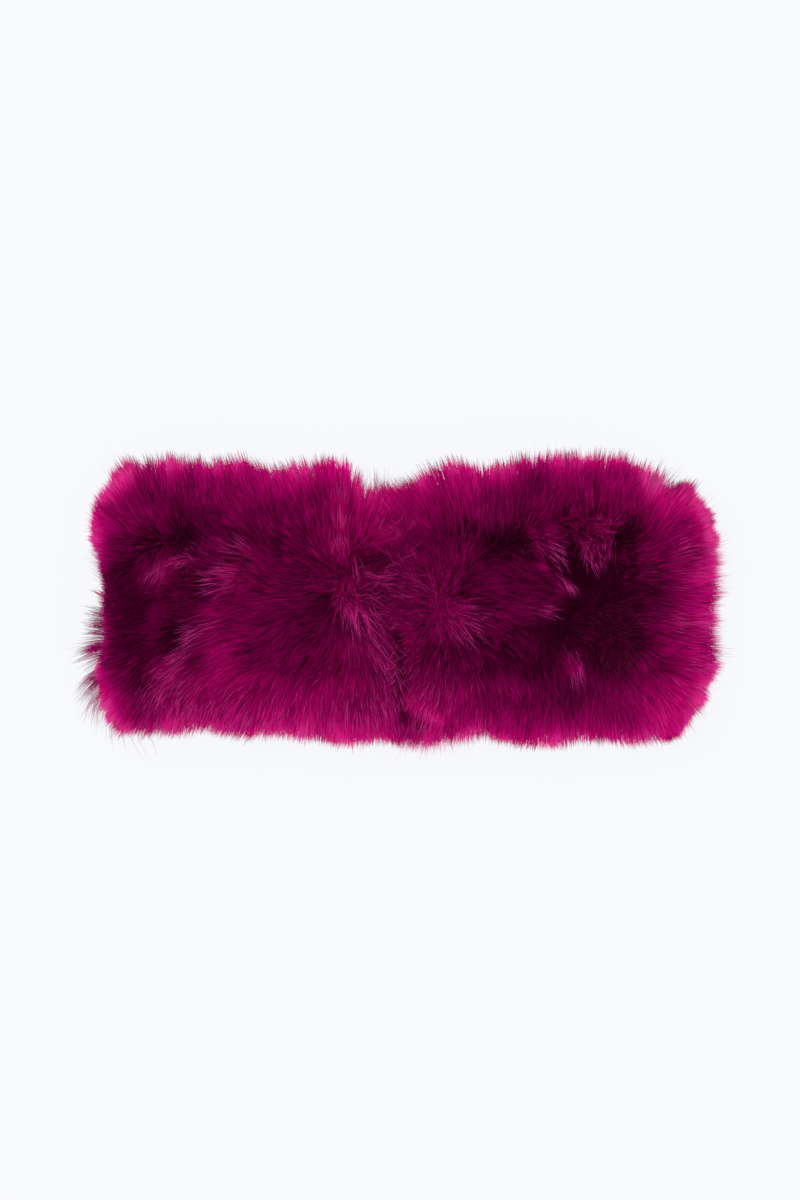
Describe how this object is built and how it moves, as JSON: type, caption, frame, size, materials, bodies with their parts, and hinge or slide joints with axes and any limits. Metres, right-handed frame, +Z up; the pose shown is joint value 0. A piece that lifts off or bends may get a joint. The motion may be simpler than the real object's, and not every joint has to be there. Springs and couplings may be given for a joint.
{
  "type": "faux fur headband",
  "caption": "Wide long-pile faux fur headband, laid flat as a collapsed loop, worn round the head over the ears.",
  "frame": {"origin": "middle of the headband's box, on the surface that it lies on", "axes": "+X along the flattened band, +Y across its width, +Z up through the front wall, away from the surface"},
  "size_m": [0.2626, 0.1199, 0.0451],
  "materials": {
    "faux_fur": "soft long pile, silky at the tips"
  },
  "bodies": {
    "root": {"left_fur_panel": "faux_fur", "right_fur_panel": "faux_fur"}
  },
  "joints": []
}
